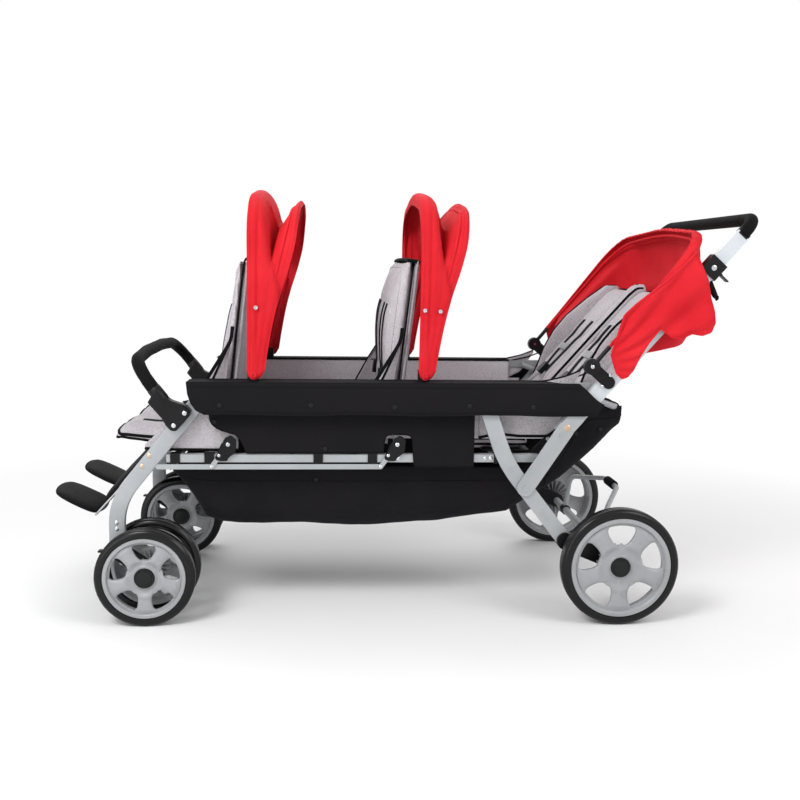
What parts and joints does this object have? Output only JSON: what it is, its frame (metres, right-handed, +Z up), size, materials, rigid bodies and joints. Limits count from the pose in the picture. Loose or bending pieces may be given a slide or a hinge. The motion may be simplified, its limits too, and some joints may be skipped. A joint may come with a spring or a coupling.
{
  "type": "multi seat daycare stroller",
  "caption": "Folding daycare stroller with rows of paired seats, red canopies, grab bar, footrests, storage basket, twin caster wheels, large rear wheels and a telescopic push handle.",
  "frame": {"origin": "on the floor, at the middle of the stroller's box in plan", "axes": "+X to the rear, where the push handle is; +Y to the right of someone who faces forward; +Z up"},
  "size_m": [1.7993, 0.788, 1.096],
  "materials": {
    "steel_grey": "silver grey paint",
    "black_plastic": "matte black",
    "rivet_steel": "bright rivets",
    "foam_black": "closed foam",
    "seat_fabric": "heather grey cloth",
    "black_fabric": "black woven cloth",
    "red_fabric": "red cloth",
    "tyre_black": "matte rubber",
    "rim_grey": "grey plastic with black caps"
  },
  "bodies": {
    "frame": {"front_legs": "steel_grey", "top_rails": "steel_grey", "seat_rails": "steel_grey", "cross_tubes": "steel_grey", "rail_fittings": "black_plastic", "canopy_brackets": "black_plastic", "grab_bar": "foam_black", "grab_bar_mounts": "black_plastic", "frame_rivets": "rivet_steel", "seat_boards": "black_plastic", "front_seat_cushion": "seat_fabric", "middle_seat_cushion": "seat_fabric", "rear_seat_cushion": "seat_fabric", "side_bands": "black_fabric", "side_panels": "black_fabric", "storage_basket": "black_fabric", "basket_hoop": "steel_grey"},
    "rear_leg_frame": {"rear_legs": "steel_grey", "rear_axle": "steel_grey", "axle_brackets": "black_plastic"},
    "brake": {"brake_bar": "steel_grey"},
    "push_bar": {"push_tubes": "steel_grey", "fold_plates": "steel_grey", "handle_clamps": "black_plastic", "rear_canopy_brackets": "black_plastic", "rear_canopy": "red_fabric"},
    "handle": {"handle_bar": "steel_grey", "handle_grip": "foam_black"},
    "back_hoop_frame": {"back_hoop": "steel_grey"},
    "rear_backrest": {"rear_seatback": "seat_fabric"},
    "rear_canopy_hood": {"rear_canopy_bow": "steel_grey"},
    "front_backrest": {"front_seatback": "seat_fabric"},
    "middle_backrest": {"middle_seatback": "seat_fabric"},
    "link": {"link_bars": "steel_grey"},
    "front_canopy_frame": {"front_canopy_rear_bow": "steel_grey", "front_canopy": "red_fabric"},
    "front_canopy_hood": {"front_canopy_front_bow": "steel_grey"},
    "middle_canopy_frame": {"middle_canopy_rear_bow": "steel_grey", "middle_canopy": "red_fabric"},
    "middle_canopy_hood": {"middle_canopy_front_bow": "steel_grey"},
    "calf_rest_frame": {"calf_rest": "black_fabric"},
    "footrests": {"footrest_pads": "black_fabric"},
    "rear_wheel_left": {"rear_tyre_left": "tyre_black", "rear_rim_left": "rim_grey"},
    "caster_left": {"caster_fork_left": "black_plastic"},
    "caster_lock_left": {"caster_tab_left": "black_plastic"},
    "clamp_lever_left": {"clamp_lever_left": "black_plastic"},
    "front_wheel_left_outer": {"front_tyre_left_outer": "tyre_black", "front_rim_left_outer": "rim_grey"},
    "front_wheel_left_inner": {"front_tyre_left_inner": "tyre_black", "front_rim_left_inner": "rim_grey"},
    "rear_wheel_right": {"rear_tyre_right": "tyre_black", "rear_rim_right": "rim_grey"},
    "caster_right": {"caster_fork_right": "black_plastic"},
    "caster_lock_right": {"caster_tab_right": "black_plastic"},
    "clamp_lever_right": {"clamp_lever_right": "black_plastic"},
    "front_wheel_right_outer": {"front_tyre_right_outer": "tyre_black", "front_rim_right_outer": "rim_grey"},
    "front_wheel_right_inner": {"front_tyre_right_inner": "tyre_black", "front_rim_right_inner": "rim_grey"}
  },
  "joints": [
    {"name": "frame_fold", "type": "hinge", "parent": "frame", "child": "rear_leg_frame", "pos_m": [0.2099, 0, 0.555], "axis": [0, -1, 0], "range_deg": [-100, 0], "deforming": ["storage_basket"]},
    {"name": "push_bar_fold", "type": "hinge", "parent": "frame", "child": "push_bar", "pos_m": [0.4149, 0, 0.505], "axis": [0, 1, 0], "range_deg": [-50, 0]},
    {"name": "back_hoop_fold", "type": "hinge", "parent": "frame", "child": "back_hoop_frame", "pos_m": [0.3769, 0, 0.468], "axis": [0, 1, 0], "range_deg": [-50, 0]},
    {"name": "rear_back_recline", "type": "hinge", "parent": "back_hoop_frame", "child": "rear_backrest", "pos_m": [0.3769, 0, 0.468], "axis": [0, -1, 0], "range_deg": [0, 25]},
    {"name": "front_back_fold", "type": "hinge", "parent": "frame", "child": "front_backrest", "pos_m": [-0.4441, 0, 0.457], "axis": [0, -1, 0], "range_deg": [0, 40]},
    {"name": "middle_back_fold", "type": "hinge", "parent": "frame", "child": "middle_backrest", "pos_m": [-0.0171, 0, 0.457], "axis": [0, -1, 0], "range_deg": [0, 40]},
    {"name": "link_turn", "type": "hinge", "parent": "front_backrest", "child": "link", "pos_m": [-0.4861, 0, 0.399], "axis": [0, -1, 0], "range_deg": [-40, 0]},
    {"name": "handle_slide", "type": "slide", "parent": "push_bar", "child": "handle", "axis": [0.6587, 0, 0.7524], "range_m": [-0.06, 0]},
    {"name": "front_canopy_tilt", "type": "hinge", "parent": "frame", "child": "front_canopy_frame", "pos_m": [-0.3801, 0, 0.636], "axis": [0, 1, 0], "range_deg": [0, 15]},
    {"name": "front_canopy_open", "type": "hinge", "parent": "front_canopy_frame", "child": "front_canopy_hood", "pos_m": [-0.3801, 0, 0.636], "axis": [0, -1, 0], "range_deg": [0, 60], "deforming": ["front_canopy"]},
    {"name": "middle_canopy_tilt", "type": "hinge", "parent": "frame", "child": "middle_canopy_frame", "pos_m": [0.0469, 0, 0.636], "axis": [0, 1, 0], "range_deg": [0, 10]},
    {"name": "middle_canopy_open", "type": "hinge", "parent": "middle_canopy_frame", "child": "middle_canopy_hood", "pos_m": [0.0469, 0, 0.636], "axis": [0, -1, 0], "range_deg": [0, 35], "deforming": ["middle_canopy"]},
    {"name": "rear_canopy_open", "type": "hinge", "parent": "push_bar", "child": "rear_canopy_hood", "pos_m": [0.4689, 0, 0.664], "axis": [0, -1, 0], "range_deg": [0, 60], "deforming": ["rear_canopy"]},
    {"name": "brake_pedal", "type": "hinge", "parent": "rear_leg_frame", "child": "brake", "pos_m": [0.5549, 0, 0.152], "axis": [0, 1, 0], "range_deg": [0, 20], "stiffness_Nm_per_rad": 6, "springref_deg": -28.65},
    {"name": "calf_rest_tilt", "type": "hinge", "parent": "frame", "child": "calf_rest_frame", "pos_m": [-0.6431, 0, 0.424], "axis": [0, 1, 0], "range_deg": [0, 40]},
    {"name": "footrest_tilt", "type": "hinge", "parent": "calf_rest_frame", "child": "footrests", "pos_m": [-0.7941, 0, 0.257], "axis": [0, 1, 0], "range_deg": [0, 60]},
    {"name": "rear_wheel_spin_left", "type": "hinge", "parent": "rear_leg_frame", "child": "rear_wheel_left", "pos_m": [0.5549, -0.3715, 0.152], "axis": [0, 1, 0], "continuous": true},
    {"name": "caster_swivel_left", "type": "hinge", "parent": "frame", "child": "caster_left", "pos_m": [-0.7261, -0.296, 0.208], "axis": [0, 0, 1], "continuous": true},
    {"name": "caster_lock_left", "type": "hinge", "parent": "caster_left", "child": "caster_lock_left", "pos_m": [-0.7499, -0.296, 0.1777], "axis": [0, 1, 0], "range_deg": [0, 30]},
    {"name": "clamp_lever_turn_left", "type": "hinge", "parent": "push_bar", "child": "clamp_lever_left", "pos_m": [0.79495, -0.3245, 0.89662], "axis": [0, -1, 0], "range_deg": [0, 60]},
    {"name": "front_wheel_spin_left_outer", "type": "hinge", "parent": "caster_left", "child": "front_wheel_left_outer", "pos_m": [-0.6501, -0.346, 0.125], "axis": [0, 1, 0], "continuous": true},
    {"name": "front_wheel_spin_left_inner", "type": "hinge", "parent": "caster_left", "child": "front_wheel_left_inner", "pos_m": [-0.6501, -0.246, 0.125], "axis": [0, 1, 0], "continuous": true},
    {"name": "rear_wheel_spin_right", "type": "hinge", "parent": "rear_leg_frame", "child": "rear_wheel_right", "pos_m": [0.5549, 0.3715, 0.152], "axis": [0, 1, 0], "continuous": true},
    {"name": "caster_swivel_right", "type": "hinge", "parent": "frame", "child": "caster_right", "pos_m": [-0.7261, 0.296, 0.208], "axis": [0, 0, 1], "continuous": true},
    {"name": "caster_lock_right", "type": "hinge", "parent": "caster_right", "child": "caster_lock_right", "pos_m": [-0.7499, 0.296, 0.1777], "axis": [0, 1, 0], "range_deg": [0, 30]},
    {"name": "clamp_lever_turn_right", "type": "hinge", "parent": "push_bar", "child": "clamp_lever_right", "pos_m": [0.79495, 0.3245, 0.89662], "axis": [0, -1, 0], "range_deg": [0, 60]},
    {"name": "front_wheel_spin_right_outer", "type": "hinge", "parent": "caster_right", "child": "front_wheel_right_outer", "pos_m": [-0.6501, 0.346, 0.125], "axis": [0, 1, 0], "continuous": true},
    {"name": "front_wheel_spin_right_inner", "type": "hinge", "parent": "caster_right", "child": "front_wheel_right_inner", "pos_m": [-0.6501, 0.246, 0.125], "axis": [0, 1, 0], "continuous": true}
  ],
  "couplings": [
    {"joint": "push_bar_fold", "follows": "frame_fold", "ratio": 0.5},
    {"joint": "back_hoop_fold", "follows": "frame_fold", "ratio": 0.5},
    {"joint": "middle_back_fold", "follows": "front_back_fold", "ratio": 1},
    {"joint": "link_turn", "follows": "front_back_fold", "ratio": -1}
  ]
}
